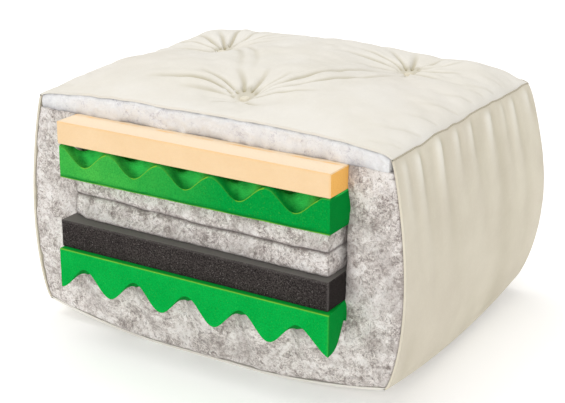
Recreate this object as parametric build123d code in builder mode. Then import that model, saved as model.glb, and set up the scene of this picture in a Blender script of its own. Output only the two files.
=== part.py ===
"""A tufted futon mattress with a memory foam core, cut open at the front to show its layers.

Millimetres. +X is to the right, +Y runs from the cut face to the back, +Z is up from the floor.
The origin is on the floor, under the middle of the whole block.
"""

import os
from math import atan, ceil, degrees, exp, hypot, pi, sin, sqrt

from build123d import *

os.makedirs("parts", exist_ok=True)

# the cover: a boxed cotton case, sewn along its top and bottom edges
width = 440  # between the side seams
depth = 360  # from the cut face to the back seam
cloth = 2.5  # quilted ticking
side_bulge = 19.5  # how far each border stands out between its seams
bottom_seam = 20  # outside of the cloth above the floor, at the corners
top_seam = 265  # inside of the cloth above the floor
bulge_points = ((0.18, 10.5), (0.47, 19), (0.6, side_bulge), (0.83, 15))  # share down the wall, bulge

# the crown of the top and the belly of the bottom
crown = 36
crown_at_cut = 14.5
crown_run = 0.3  # share of the depth in which the cut edge rises to the full crown
crown_width_power = 5
crown_depth_power = 8
belly_press = 1.5  # how far the unloaded belly would reach below the floor
belly_power = 2.4
seam_sag = 13  # the side seams hang this much lower at mid depth than at the corners
belly_rise = 8.5  # from the belly to the lowest point of the side seams
belly_back_power = 6

# foam layers, from the bottom up
foam_reach = 37.2  # the layers stand this far out of the cut batting
lower_foam_reach = 44.2
left_wall = 55  # batting beside the layers
right_wall = 47.5
back_wall = 50
core_bottom = 110  # top of the lower convoluted foam, which carries the flat layers
lower_foam_base = 22
lower_tooth = 27
lower_pitch = 68
dark_foam = 31.5
pad = 25
upper_foam_base = 13.5
upper_wave = 24.5
upper_pitch = 66
upper_crest_setback = 3  # from the front face to the first row of crests
crate_tip = 6  # flat top of each egg-crate peak
crate_gap = 0.5  # between the feet of neighbouring peaks
memory_foam = 25.4
pad_setback_left = 22  # from the front of the foams to the front of the cotton pads
pad_setback_right = 10
pad_inset_left = 3
pad_inset_right = 7

# tufts: twine through the whole mattress, held by a felt button at each end
button_radius = 6
button_thickness = 4
button_seat = 0.5  # how deep a button presses into the cloth
twine_radius = 1
top_dimple = 20
top_dimple_radius = 32
bottom_dimple = 6.5
bottom_dimple_radius = 20

# lengths used to cut one shape with another
margin = 30  # how far the curved faces reach past the seams
grid = 10  # spacing of the points that carry them
clear = 80  # longer than anything a curved face cuts away

cut_y = (lower_foam_reach - depth - side_bulge) / 2
back_y = cut_y + depth
middle_y = cut_y + depth / 2
half_width = width / 2
wall_height = top_seam - bottom_seam

foam_left = left_wall - half_width
foam_right = half_width - right_wall
foam_front = cut_y - foam_reach
foam_back = back_y - back_wall
lower_front = cut_y - lower_foam_reach

dark_top = core_bottom + dark_foam
lower_pad_top = dark_top + pad
upper_pad_top = lower_pad_top + pad
upper_foam_top = upper_pad_top + upper_foam_base + upper_wave
memory_top = upper_foam_top + memory_foam

tufts = {
    "left": (-137, 74),
    "front": (8, -100),
    "right": (110, 91),
}


def dimple(x, y, deep, radius):
    """How far the twine pulls the cloth in at one place."""
    return sum(deep * exp(-((hypot(x - tx, y - ty) / radius) ** 2)) for tx, ty in tufts.values())


def crown_height(x, y):
    """Underside of the top cloth: crowned, pulled down at each tuft."""
    across = abs(x / half_width)
    along = (y - cut_y) / depth
    run = min(max(along, 0) / crown_run, 1)
    rise = crown_at_cut + (crown - crown_at_cut) * sin(run * pi / 2)
    shape = (1 - across**crown_width_power) * (1 - max(along, 0) ** crown_depth_power)
    inside = max(shape, 0) if across > 1 and along > 1 else shape
    return top_seam + rise * inside - dimple(x, y, top_dimple, top_dimple_radius)


def belly_height(x, y):
    """Upper side of the bottom cloth: it hangs to the floor between seams that bow down."""
    across = abs(x / half_width) ** belly_power
    along = (y - cut_y) / depth
    side = belly_rise + seam_sag * (2 * along - 1) ** 2
    back = belly_rise * max(along, 0) ** belly_back_power
    outside = side * across + back * max(1 - across, 0) - belly_press
    return cloth + outside + dimple(x, y, bottom_dimple, bottom_dimple_radius)


def crate_centres(pitch, crest_y):
    """Peaks of an egg-crate foam: rows half a pitch apart, each shifted by half a pitch."""
    half = pitch / 2
    columns = range(-1, ceil((foam_right - foam_left) / half) + 2)
    rows = range(-1, ceil((foam_back - crest_y) / half) + 1)
    return [(foam_left + half * i, crest_y + half * j) for i in columns for j in rows if (i + j) % 2 == 0]


def crate_side(pitch):
    """Side of the square foot of one peak, set cornerwise so that the feet tile the foam."""
    return pitch / sqrt(2) - crate_gap


def crate_taper(pitch, tall):
    """Slope of a peak's sides, in degrees from upright."""
    return degrees(atan((crate_side(pitch) - crate_tip) / 2 / tall))


def curved_face(height, x_low, x_high, y_low, y_high):
    """A smooth face through height(x, y), from a regular grid of points."""
    columns = round((x_high - x_low) / grid)
    rows = round((y_high - y_low) / grid)
    xs = [x_low + (x_high - x_low) * i / columns for i in range(columns + 1)]
    ys = [y_low + (y_high - y_low) * j / rows for j in range(rows + 1)]
    return Face.make_surface_from_array_of_points([[(x, y, height(x, y)) for y in ys] for x in xs])


cover_span = (-half_width - margin, half_width + margin, cut_y - grid, back_y + margin)
crown_face = curved_face(crown_height, *cover_span)
belly_face = curved_face(belly_height, *cover_span)


def finish(piece, name):
    """Label a finished piece and write it to its own file."""
    piece.part.label = name
    export_step(piece.part, f"parts/{name}.step")


def twine_holes():
    """Pass the twine of every tuft through the piece being built."""
    with Locations(*[(x, y, top_seam / 2) for x, y in tufts.values()]):
        Hole(twine_radius)


def trim_to_cover():
    """Cut the piece being built to the inside of the top and bottom cloth."""
    extrude(crown_face, amount=clear, dir=(0, 0, 1), mode=Mode.SUBTRACT)
    extrude(belly_face, amount=clear, dir=(0, 0, -1), mode=Mode.SUBTRACT)


def bulge_line(seam, outward):
    """One bulged wall line, from above the top seam, where it stands at seam, to the floor."""
    Line((seam, top_seam + grid), (seam, top_seam))
    points = [(seam + outward * out, top_seam - share * wall_height) for share, out in bulge_points]
    Spline((seam, top_seam), *points, (seam, bottom_seam))
    Line((seam, bottom_seam), (seam, 0))


def close_ends(near, far):
    """The level lines that join two wall lines above the top seam and at the floor."""
    for level in (top_seam + grid, 0):
        Line((near, level), (far, level))


def mitre(side):
    """The vertical plane through a back corner that parts the side from the back."""
    return Plane(origin=(side * half_width, back_y, 0), z_dir=(side, -1, 0))


# ---- cover -------------------------------------------------------------------------------

with BuildPart() as top_cover_panel:
    extrude(crown_face, amount=cloth, dir=(0, 0, 1))
    with BuildSketch() as top_outline:
        with Locations((0, middle_y)):
            Rectangle(width, depth)
    extrude(amount=top_seam + clear, mode=Mode.INTERSECT)
    for place in tufts.values():
        with Locations((*place, crown_height(*place) + cloth - button_seat)):
            Cylinder(
                button_radius, clear, align=(Align.CENTER, Align.CENTER, Align.MIN), mode=Mode.SUBTRACT
            )
    twine_holes()
finish(top_cover_panel, "top_cover_panel")

with BuildPart() as bottom_cover_panel:
    extrude(belly_face, amount=cloth, dir=(0, 0, -1))
    with BuildSketch() as bottom_outline:
        with Locations((0, middle_y)):
            Rectangle(width, depth)
    extrude(amount=clear, mode=Mode.INTERSECT)
    for place in tufts.values():
        with Locations((*place, belly_height(*place) - cloth + button_seat)):
            Cylinder(
                button_radius, clear, align=(Align.CENTER, Align.CENTER, Align.MAX), mode=Mode.SUBTRACT
            )
    twine_holes()
finish(bottom_cover_panel, "bottom_cover_panel")

for side, side_name in ((-1, "left"), (1, "right")):
    with BuildPart() as side_border:
        with BuildSketch(Plane.XZ.offset(-cut_y)) as border_section:
            with BuildLine():
                bulge_line(side * half_width, side)
                bulge_line(side * (half_width - cloth), side)
                close_ends(side * half_width, side * (half_width - cloth))
            make_face()
        extrude(amount=-depth - margin)
        split(bisect_by=mitre(side), keep=Keep.TOP)
        trim_to_cover()
    finish(side_border, f"{side_name}_border_panel")

with BuildPart() as back_border_panel:
    with BuildSketch(Plane.YZ.offset(-half_width - margin)) as back_section:
        with BuildLine():
            bulge_line(back_y, 1)
            bulge_line(back_y - cloth, 1)
            close_ends(back_y, back_y - cloth)
        make_face()
    extrude(amount=width + 2 * margin)
    split(bisect_by=mitre(1), keep=Keep.BOTTOM)
    split(bisect_by=mitre(-1), keep=Keep.BOTTOM)
    trim_to_cover()
finish(back_border_panel, "back_border_panel")

# ---- core --------------------------------------------------------------------------------


def core_outline(front):
    """Plan of one layer of the core, from its front to the back batting."""
    corners = (foam_left, front), (foam_right, front), (foam_right, foam_back), (foam_left, foam_back)
    Polyline(*corners, close=True)


with BuildPart() as lower_convoluted_foam:
    with BuildSketch(Plane.XY.offset(core_bottom - lower_foam_base)) as lower_teeth:
        with Locations(*crate_centres(lower_pitch, lower_front)):
            Rectangle(crate_side(lower_pitch), crate_side(lower_pitch), rotation=45)
    extrude(amount=-lower_tooth, taper=crate_taper(lower_pitch, lower_tooth))
    with BuildSketch(Plane.XY.offset(core_bottom)) as lower_foam_plan:
        with BuildLine():
            core_outline(lower_front)
        make_face()
    extrude(lower_foam_plan.sketch, amount=-lower_foam_base)
    extrude(lower_foam_plan.sketch, amount=-clear, mode=Mode.INTERSECT)
    twine_holes()
finish(lower_convoluted_foam, "lower_convoluted_foam")

with BuildPart() as dark_support_foam:
    with BuildSketch(Plane.XY.offset(core_bottom)) as dark_plan:
        with BuildLine():
            core_outline(foam_front)
        make_face()
    extrude(amount=dark_foam)
    twine_holes()
finish(dark_support_foam, "dark_support_foam")

for pad_name, pad_level in (("lower_middle_pad", dark_top), ("upper_middle_pad", lower_pad_top)):
    with BuildPart() as middle_pad:
        with BuildSketch(Plane.XY.offset(pad_level)) as pad_plan:
            with BuildLine():
                Polyline(
                    (foam_left, cut_y),
                    (foam_left + pad_inset_left, foam_front + pad_setback_left),
                    (foam_right - pad_inset_right, foam_front + pad_setback_right),
                    (foam_right, cut_y),
                    (foam_right, foam_back),
                    (foam_left, foam_back),
                    close=True,
                )
            make_face()
        extrude(amount=pad)
        twine_holes()
    finish(middle_pad, pad_name)

with BuildPart() as upper_convoluted_foam:
    with BuildSketch(Plane.XY.offset(upper_pad_top + upper_foam_base)) as upper_peaks:
        with Locations(*crate_centres(upper_pitch, foam_front + upper_crest_setback)):
            Rectangle(crate_side(upper_pitch), crate_side(upper_pitch), rotation=45)
    extrude(amount=upper_wave, taper=crate_taper(upper_pitch, upper_wave))
    with BuildSketch(Plane.XY.offset(upper_pad_top)) as upper_foam_plan:
        with BuildLine():
            core_outline(foam_front)
        make_face()
    extrude(upper_foam_plan.sketch, amount=upper_foam_base)
    extrude(upper_foam_plan.sketch, amount=clear, mode=Mode.INTERSECT)
    twine_holes()
finish(upper_convoluted_foam, "upper_convoluted_foam")

with BuildPart() as memory_foam_slab:
    with BuildSketch(Plane.XY.offset(upper_foam_top)) as memory_plan:
        with BuildLine():
            core_outline(foam_front)
        make_face()
    extrude(amount=memory_foam)
    twine_holes()
finish(memory_foam_slab, "memory_foam_slab")

# ---- batting -----------------------------------------------------------------------------

for side, side_name, wall in ((-1, "left", foam_left), (1, "right", foam_right)):
    with BuildPart() as side_batting:
        with BuildSketch(Plane.XZ.offset(-cut_y)) as batting_section:
            with BuildLine():
                bulge_line(side * (half_width - cloth), side)
                Line((wall, top_seam + grid), (wall, 0))
                close_ends(wall, side * (half_width - cloth))
            make_face()
        extrude(amount=-depth - margin)
        split(bisect_by=mitre(side), keep=Keep.TOP)
        split(bisect_by=Plane.XY.offset(memory_top), keep=Keep.BOTTOM)
        trim_to_cover()
    finish(side_batting, f"{side_name}_batting")

with BuildPart() as back_batting:
    with BuildSketch(Plane.YZ.offset(-half_width - margin)) as back_batting_section:
        with BuildLine():
            bulge_line(back_y - cloth, 1)
            Line((foam_back, top_seam + grid), (foam_back, 0))
            close_ends(foam_back, back_y - cloth)
        make_face()
    extrude(amount=width + 2 * margin)
    split(bisect_by=mitre(1), keep=Keep.BOTTOM)
    split(bisect_by=mitre(-1), keep=Keep.BOTTOM)
    split(bisect_by=Plane.XY.offset(memory_top), keep=Keep.BOTTOM)
    trim_to_cover()
finish(back_batting, "back_batting")

with BuildPart() as bottom_batting:
    with BuildSketch() as under_core:
        with BuildLine():
            core_outline(cut_y)
        make_face()
    extrude(amount=core_bottom)
    add(lower_convoluted_foam.part, mode=Mode.SUBTRACT)
    trim_to_cover()
    twine_holes()
finish(bottom_batting, "bottom_batting")

with BuildPart() as white_top_batting:
    with BuildSketch(Plane.XY.offset(memory_top)) as over_core:
        with Locations((0, middle_y - cloth / 2)):
            Rectangle(width - 2 * cloth, depth - cloth)
    extrude(amount=clear)
    trim_to_cover()
    twine_holes()
finish(white_top_batting, "white_top_batting")

# ---- tufts -------------------------------------------------------------------------------

for tuft_name, (tuft_x, tuft_y) in tufts.items():
    top_seat = crown_height(tuft_x, tuft_y) + cloth - button_seat
    bottom_seat = belly_height(tuft_x, tuft_y) - cloth + button_seat

    with BuildPart() as top_button:
        with BuildSketch(Plane.XY.offset(top_seat)) as top_button_plan:
            with Locations((tuft_x, tuft_y)):
                Circle(button_radius)
        extrude(amount=button_thickness)
        fillet(top_button.edges().sort_by(Axis.Z)[-1], button_thickness / 3)
    finish(top_button, f"{tuft_name}_tuft_top_button")

    with BuildPart() as bottom_button:
        with BuildSketch(Plane.XY.offset(bottom_seat)) as bottom_button_plan:
            with Locations((tuft_x, tuft_y)):
                Circle(button_radius)
        extrude(amount=-button_thickness)
        fillet(bottom_button.edges().sort_by(Axis.Z)[0], button_thickness / 3)
    finish(bottom_button, f"{tuft_name}_tuft_bottom_button")

    with BuildPart() as twine:
        with BuildSketch(Plane.XY.offset(bottom_seat)) as twine_plan:
            with Locations((tuft_x, tuft_y)):
                Circle(twine_radius)
        extrude(amount=top_seat - bottom_seat)
    finish(twine, f"{tuft_name}_tuft_twine")
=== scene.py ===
"""A tufted futon mattress with a memory foam core, cut open at the front: the visual model.

The frame is in metres. Shapes here are worked out in millimetres and scaled when a mesh is made.
+X is to the right, +Y runs from the cut face to the back, +Z is up from the floor.
"""

from math import cos, pi, radians, sin

import bpy
import numpy as np
from mathutils import Matrix, Vector


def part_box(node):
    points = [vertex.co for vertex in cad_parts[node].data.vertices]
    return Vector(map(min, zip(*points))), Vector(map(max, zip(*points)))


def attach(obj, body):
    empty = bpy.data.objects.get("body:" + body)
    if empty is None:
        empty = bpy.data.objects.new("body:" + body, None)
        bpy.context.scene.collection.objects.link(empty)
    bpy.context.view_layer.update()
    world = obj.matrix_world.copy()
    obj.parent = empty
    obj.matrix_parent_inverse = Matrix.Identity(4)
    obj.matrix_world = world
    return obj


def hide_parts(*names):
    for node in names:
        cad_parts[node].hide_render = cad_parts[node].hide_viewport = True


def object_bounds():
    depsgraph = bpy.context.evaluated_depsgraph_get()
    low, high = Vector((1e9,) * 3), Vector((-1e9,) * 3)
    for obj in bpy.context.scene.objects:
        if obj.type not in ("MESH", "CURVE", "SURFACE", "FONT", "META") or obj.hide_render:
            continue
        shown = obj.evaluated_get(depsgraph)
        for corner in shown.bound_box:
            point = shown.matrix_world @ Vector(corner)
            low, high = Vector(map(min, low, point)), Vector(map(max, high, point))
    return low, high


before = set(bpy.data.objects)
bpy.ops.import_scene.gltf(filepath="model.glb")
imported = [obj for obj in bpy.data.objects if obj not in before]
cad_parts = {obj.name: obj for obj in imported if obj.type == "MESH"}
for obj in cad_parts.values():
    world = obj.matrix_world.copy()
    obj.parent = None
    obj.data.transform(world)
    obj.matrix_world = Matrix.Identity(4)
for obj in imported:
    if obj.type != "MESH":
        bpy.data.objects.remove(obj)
cad_low, cad_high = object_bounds()

MM = 0.001
scene = bpy.context.scene

# ---- camera ----

AZIMUTH = radians(30.93)
ELEVATION = radians(19.74)
ROLL = radians(0.415)
DISTANCE = 1.588
AIM_OFFSET = Vector((-0.0107, 0.0114, -0.0251))  # from the middle of the CAD box

camera_back = Vector((sin(AZIMUTH) * cos(ELEVATION), -cos(AZIMUTH) * cos(ELEVATION), sin(ELEVATION)))
level_right = Vector((cos(AZIMUTH), sin(AZIMUTH), 0))
level_up = camera_back.cross(level_right)
camera_right = level_right * cos(ROLL) + level_up * sin(ROLL)
camera_up = level_up * cos(ROLL) - level_right * sin(ROLL)
camera_data = bpy.data.cameras.new("camera")
camera_data.sensor_width = 36
camera_data.lens = 85.25
camera = bpy.data.objects.new("camera", camera_data)
scene.collection.objects.link(camera)
aim = (cad_low + cad_high) / 2 + AIM_OFFSET
turn = Matrix((camera_right, camera_up, camera_back)).transposed().to_4x4()
camera.matrix_world = Matrix.Translation(aim + camera_back * DISTANCE) @ turn
scene.camera = camera

# ---- places, from the frame ----


def span(node):
    """Lowest and highest corner of a CAD node, in millimetres."""
    low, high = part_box(node)
    return np.array(low) / MM, np.array(high) / MM


(foam_left, foam_front, core_bottom), (foam_right, foam_back, dark_top) = span("dark_support_foam")
(_, lower_front, teeth_bottom), _ = span("lower_convoluted_foam")
(pad_left, _, pads_middle), (pad_right, _, pads_top) = span("upper_middle_pad")
(_, _, crests_top), (_, _, memory_top) = span("memory_foam_slab")
(_, cut_y, _), (half_width, back_y, _) = span("top_cover_panel")
side_bulge = span("right_border_panel")[1][0] - half_width
depth = back_y - cut_y

TUFTS = {name: np.mean(span(f"{name}_tuft_twine"), 0)[:2] for name in ("left", "front", "right")}

CLOTH = 2.5  # thickness of the cover
FACES = np.array([0.0, 1.0])  # the inner and the outer face of a cloth
SEAM_TOP = memory_top + 12.6
FIT = 0.35  # clearance between neighbouring soft pieces
SETTLE_FRAMES = 20
TOP_SETTLE = 3.0  # the furthest the top cloth moves as it settles
BORDER_SETTLE = 2.5

# ---- numbers ----


def hashed(cells, seed):
    """A repeatable number from -1 to 1 for each whole-number cell."""
    mixed = cells[..., 0] * 374761393 + cells[..., 1] * 668265263 + cells[..., 2] * 1440662683
    mixed = (mixed + seed * 1274126177) & 0xFFFFFFFF
    mixed = ((mixed ^ (mixed >> 13)) * 1274126177) & 0xFFFFFFFF
    return ((mixed ^ (mixed >> 16)) & 0xFFFF) / 32767.5 - 1


def rough(x, y, z, size, seed, octaves=1):
    """Smooth noise from about -1 to 1, with lumps of the given size."""
    points = np.stack(np.broadcast_arrays(x, y, z), -1).astype(float)
    total, share = 0.0, 1.0
    for octave in range(octaves):
        scaled = points / size * 2**octave
        cell = np.floor(scaled).astype(np.int64)
        inside = scaled - cell
        inside = inside * inside * (3 - 2 * inside)
        for corner in np.ndindex(2, 2, 2):
            weight = np.where(np.array(corner) == 1, inside, 1 - inside).prod(-1)
            total = total + share * weight * hashed(cell + np.array(corner), seed + octave)
        share *= 0.5
    return total


def unit(x):
    """x held between 0 and 1."""
    return np.clip(x, 0, 1)


def smooth(x, low, high):
    """0 below low, 1 above high, and smooth between."""
    t = unit((x - low) / (high - low))
    return t * t * (3 - 2 * t)


def pick(seed, *cell):
    """A repeatable number from -1 to 1 for three whole numbers."""
    return hashed(np.array(cell), seed)


def bell(x, width):
    return np.exp(-((x / width) ** 2))


def smooth_line(points, steps=8):
    """A Catmull-Rom line through a few points."""
    p = np.array([points[0], *points, points[-1]], float)
    line = [p[1]]
    for a, b, c, d in zip(p[:-3], p[1:-2], p[2:-1], p[3:]):
        for i in range(1, steps + 1):
            t = i / steps
            square, cube = 2 * a - 5 * b + 4 * c - d, 3 * b - a - 3 * c + d
            line.append(0.5 * (2 * b + (c - a) * t + square * t**2 + cube * t**3))
    return np.array(line)


def fold(x, y, points, deep, wide, spread=1.0, start_soft=0.12):
    """Depth of a fold along a line: deepest near its start, with a low ridge on each side."""
    line = smooth_line(points)
    reach = 5 * wide * (1 + spread)
    box_low, box_high = line.min(0) - reach, line.max(0) + reach
    near = (x > box_low[0]) & (x < box_high[0]) & (y > box_low[1]) & (y < box_high[1])
    result = np.zeros_like(x)
    if not near.any():
        return result
    place = np.stack([x[near], y[near]], -1)
    steps = np.diff(line, axis=0)
    lengths = np.hypot(*steps.T)
    done = np.concatenate([[0], np.cumsum(lengths)])
    away = np.full(len(place), np.inf)
    share = np.zeros(len(place))
    side = np.ones(len(place))
    for start, step, length, before in zip(line, steps, lengths, done):
        offset = place - start
        t = unit(offset @ step / length**2)
        gap = np.hypot(*(offset - t[:, None] * step).T)
        closer = gap < away
        away = np.where(closer, gap, away)
        share = np.where(closer, (before + t * length) / done[-1], share)
        side = np.where(closer, np.sign(step[0] * offset[:, 1] - step[1] * offset[:, 0]), side)
    width = wide * (1 + spread * share)
    fade = smooth(share, 0, start_soft) * (1 - share) ** 0.9
    ridge = 0.42 * bell(away - 1.9 * width, 0.95 * width) * (1 + 0.3 * side)
    result[near] = deep * fade * (bell(away, width * 0.8) - ridge)
    return result


# ---- meshes ----


def mesh_piece(name, points, faces, sharp=40):
    """An object from points in millimetres and faces of equal corner count."""
    mesh = bpy.data.meshes.new(name)
    mesh.vertices.add(len(points))
    mesh.vertices.foreach_set("co", (points * MM).astype(np.float32).ravel())
    mesh.loops.add(faces.size)
    mesh.loops.foreach_set("vertex_index", faces.astype(np.int32).ravel())
    mesh.polygons.add(len(faces))
    mesh.polygons.foreach_set("loop_start", np.arange(0, faces.size, faces.shape[1], dtype=np.int32))
    mesh.update(calc_edges=True)
    mesh.validate()
    mesh.shade_smooth()
    mesh.set_sharp_from_angle(angle=radians(sharp))
    piece = bpy.data.objects.new(name, mesh)
    scene.collection.objects.link(piece)
    return piece


def mark(piece, most=1.0, **marks):
    """Keep numbers from 0 to most for each vertex of a piece, for its material."""
    for name, values in marks.items():
        values = np.clip(values, 0, most).astype(np.float32)
        piece.data.attributes.new(name, "FLOAT", "POINT").data.foreach_set("value", values)


def quads(grid):
    """Faces between the rows and columns of a grid of vertex numbers."""
    return np.stack([grid[:-1, :-1], grid[1:, :-1], grid[1:, 1:], grid[:-1, 1:]], -1).reshape(-1, 4)


def hoops(grid):
    """Faces between the rows of such a grid when each row is a closed ring."""
    rolled = np.roll(grid, -1, axis=1)
    return np.stack([grid[:-1], rolled[:-1], rolled[1:], grid[1:]], -1).reshape(-1, 4)


def shell(name, us, vs, ws, place, sharp=40):
    """A closed skin over the six sides of a block whose lattice points place() puts in space."""
    skin = np.ones((len(us), len(vs), len(ws)), bool)
    skin[1:-1, 1:-1, 1:-1] = False
    number = np.full(skin.shape, -1)
    number[skin] = np.arange(skin.sum())
    i, j, k = np.nonzero(skin)
    points = place(us[i], vs[j], ws[k])
    ends = ((number[:, :, 0], -1), (number[:, :, -1], 1), (number[:, 0], 1), (number[:, -1], -1))
    ends += ((number[0], -1), (number[-1], 1))
    faces = np.concatenate([quads(grid)[:, ::order] for grid, order in ends])
    a, b, c, d = (points[faces[:, n]] for n in range(4))
    if (np.cross(c - a, d - b) * (a + b + c + d)).sum() < 0:  # inside out
        faces = faces[:, ::-1]
    return mesh_piece(name, points, faces, sharp)


def points_of(piece):
    """The x, y and z of a piece's vertices, in millimetres."""
    values = np.empty(len(piece.data.vertices) * 3, np.float32)
    piece.data.vertices.foreach_get("co", values)
    return values.reshape(-1, 3).T.astype(float) / MM


def steps_between(low, high, step, edge=None):
    """Even steps from low to high; edge adds one closer step at each end."""
    values = np.linspace(low, high, max(2, round((high - low) / step) + 1))
    if edge:
        values = np.unique(np.concatenate([values, [low + edge, high - edge]]))
    return values


def settled(points, most, tied=False):
    """How far each point of a lattice moves when a cloth of that shape, held all round and where
    it is tied, is pressed out from behind by its filling; the longest move is most millimetres."""
    held = np.zeros(points.shape[:2], bool) | tied
    held[[0, -1]] = held[:, [0, -1]] = True
    faces = quads(np.arange(held.size).reshape(held.shape))
    piece = mesh_piece("cloth_trial", points.reshape(-1, 3), faces)
    piece.vertex_groups.new(name="held").add(np.flatnonzero(held.ravel()).tolist(), 1.0, "ADD")
    cloth = piece.modifiers.new("cloth", "CLOTH")
    cloth.settings.quality = 6
    cloth.settings.mass = 0.3
    cloth.settings.tension_stiffness = 12
    cloth.settings.compression_stiffness = 12
    cloth.settings.bending_stiffness = 1.5
    cloth.settings.shrink_min = -0.012
    cloth.settings.use_pressure = True
    cloth.settings.uniform_pressure_force = 4.0
    cloth.settings.effector_weights.gravity = 0.0
    cloth.settings.vertex_group_mass = "held"
    cloth.point_cache.frame_end = SETTLE_FRAMES
    for number in range(1, SETTLE_FRAMES + 1):
        scene.frame_set(number)
    shape = piece.evaluated_get(bpy.context.evaluated_depsgraph_get()).data
    moved = np.empty(points.size, np.float32)
    shape.vertices.foreach_get("co", moved)
    moved = moved.reshape(points.shape) / MM - points
    mesh = piece.data
    bpy.data.objects.remove(piece)
    bpy.data.meshes.remove(mesh)
    scene.frame_set(1)
    longest = np.sqrt((moved**2).sum(-1)).max()
    return moved * min(1.0, most / longest)


def sampled(values, u, v):
    """A lattice of values read at places given as 0 to 1 along its two sides."""
    rows, columns = values.shape
    a, b = unit(u) * (rows - 1), unit(v) * (columns - 1)
    i, j = np.minimum(a.astype(int), rows - 2), np.minimum(b.astype(int), columns - 2)
    a, b = a - i, b - j
    a, b = a * a * (3 - 2 * a), b * b * (3 - 2 * b)
    near = values[i, j] * (1 - b) + values[i, j + 1] * b
    return near * (1 - a) + (values[i + 1, j] * (1 - b) + values[i + 1, j + 1] * b) * a


def finished(piece, material, nodes=()):
    """Material, slot, replaced CAD nodes and body of a piece."""
    piece.data.materials.append(material)
    if nodes:
        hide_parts(*nodes)
    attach(piece, "root")
    return piece


# ---- materials ----


def tone(red, green, blue):
    """A screen colour, 0 to 255 a channel, as the shader's linear colour."""
    shares = red / 255, green / 255, blue / 255
    return *(c / 12.92 if c <= 0.04045 else ((c + 0.055) / 1.055) ** 2.4 for c in shares), 1.0


class Finish:
    """One procedural material and the nodes that make it."""

    def __init__(self, name, roughness=0.9, sheen=0.0, specular=0.2):
        self.material = bpy.data.materials.new(name)
        self.material.use_nodes = True
        self.tree = self.material.node_tree
        self.shader = self.tree.nodes["Principled BSDF"]
        self.shader.inputs["Roughness"].default_value = roughness
        self.shader.inputs["Sheen Weight"].default_value = sheen
        self.shader.inputs["Sheen Roughness"].default_value = 0.6
        self.shader.inputs["Specular IOR Level"].default_value = specular
        self.place = self.node("ShaderNodeTexCoord").outputs["Object"]

    def node(self, kind, inputs=(), **settings):
        made = self.tree.nodes.new(kind)
        for key, value in settings.items():
            setattr(made, key, value)
        for key, value in dict(inputs).items():
            self.feed(made.inputs[key], value)
        return made

    def feed(self, socket, value):
        if isinstance(value, bpy.types.NodeSocket):
            self.tree.links.new(value, socket)
        else:
            socket.default_value = value

    def maths(self, operation, a, b=0.0, c=0.0):
        return self.node("ShaderNodeMath", {0: a, 1: b, 2: c}, operation=operation).outputs[0]

    def times(self, a, b):
        return self.maths("MULTIPLY", a, b)

    def noise(self, size, detail=3.0, roughness=0.5, distortion=0.0, place=None):
        """Noise with lumps of about that size in metres."""
        inputs = {
            "Vector": place or self.place,
            "Scale": 1 / size,
            "Detail": detail,
            "Roughness": roughness,
            "Distortion": distortion,
        }
        return self.node("ShaderNodeTexNoise", inputs).outputs["Fac"]

    def stretched(self, x, y, z):
        """The place with its axes scaled."""
        return self.node("ShaderNodeMapping", {"Vector": self.place, "Scale": (x, y, z)}).outputs[0]

    def bands(self, period, axis):
        """Smooth lines across one axis, from 0 to 1."""
        inputs = {"Vector": self.place, "Scale": pi / 10 / period, "Distortion": 0.0, "Detail": 0.0}
        made = self.node("ShaderNodeTexWave", inputs, bands_direction=axis, wave_profile="SIN")
        return made.outputs["Fac"]

    def ramp(self, value, stops):
        made = self.node("ShaderNodeValToRGB", {"Fac": value})
        made.color_ramp.interpolation = "EASE"
        elements = made.color_ramp.elements
        while len(elements) < len(stops):
            elements.new(0.5)
        for element, (position, colour) in zip(elements, stops):
            element.position = position
            element.color = colour
        return made.outputs["Color"]

    def grey(self, value, low, high):
        """value stretched so that low becomes 0 and high 1, clamped."""
        made = self.node("ShaderNodeMapRange", {"Value": value, "From Min": low, "From Max": high})
        return made.outputs["Result"]

    def mix(self, share, a, b):
        made = self.node("ShaderNodeMix", data_type="RGBA")
        for index, value in ((0, share), (6, a), (7, b)):
            self.feed(made.inputs[index], value)
        return made.outputs[2]

    def laid(self, colour, *layers):
        """colour with others laid over it, each where its value passes from low to high and at
        most so strongly: (value, low, high, strength, colour)."""
        for value, low, high, strength, over in layers:
            colour = self.mix(self.times(self.grey(value, low, high), strength), colour, over)
        return colour

    def attribute(self, name):
        return self.node("ShaderNodeAttribute", attribute_name=name).outputs["Fac"]

    def height(self, value, distance):
        """Feed a bump of that many metres to the shader."""
        bump = self.node("ShaderNodeBump", {"Height": value, "Distance": distance})
        self.tree.links.new(bump.outputs["Normal"], self.shader.inputs["Normal"])

    def colour(self, value):
        self.feed(self.shader.inputs["Base Color"], value)
        return self

    def rough(self, value, low, high):
        """Roughness from low to high over the value's 0 to 1."""
        made = self.node("ShaderNodeMapRange", {"Value": value, "To Min": low, "To Max": high})
        self.feed(self.shader.inputs["Roughness"], made.outputs["Result"])


def ticking(name, axes, base, shade, warm):
    """Closely woven cotton cloth; axes are the two directions of its threads."""
    made = Finish(name, sheen=0.04, specular=0.1)
    weave = made.times(*(made.bands(0.0011, axis) for axis in axes))
    slub = made.noise(0.0035, 4, 0.6)
    cloth = made.mix(made.grey(made.noise(0.07, 4, 0.55), 0.35, 0.68), shade, base)
    cloth = made.laid(cloth, (made.noise(0.22, 2, 0.5), 0.45, 0.7, 0.45, warm))
    cloth = made.mix(made.times(weave, 0.07), cloth, tone(190, 182, 164))
    cloth = made.laid(cloth, (slub, 0.5, 0.75, 0.10, tone(250, 247, 240)))
    # painted highlight on the crests of the gathers
    cloth = made.mix(made.attribute("crest"), cloth, tone(246, 243, 234))
    # painted shade in the folds, round the tufts and in the valleys of the gathers
    made.colour(made.mix(made.times(made.attribute("crease"), 0.8), cloth, tone(180, 172, 144)))
    made.height(made.maths("ADD", weave, made.times(slub, 1.4)), 0.00012)
    made.rough(slub, 0.82, 0.98)
    return made.material


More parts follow.
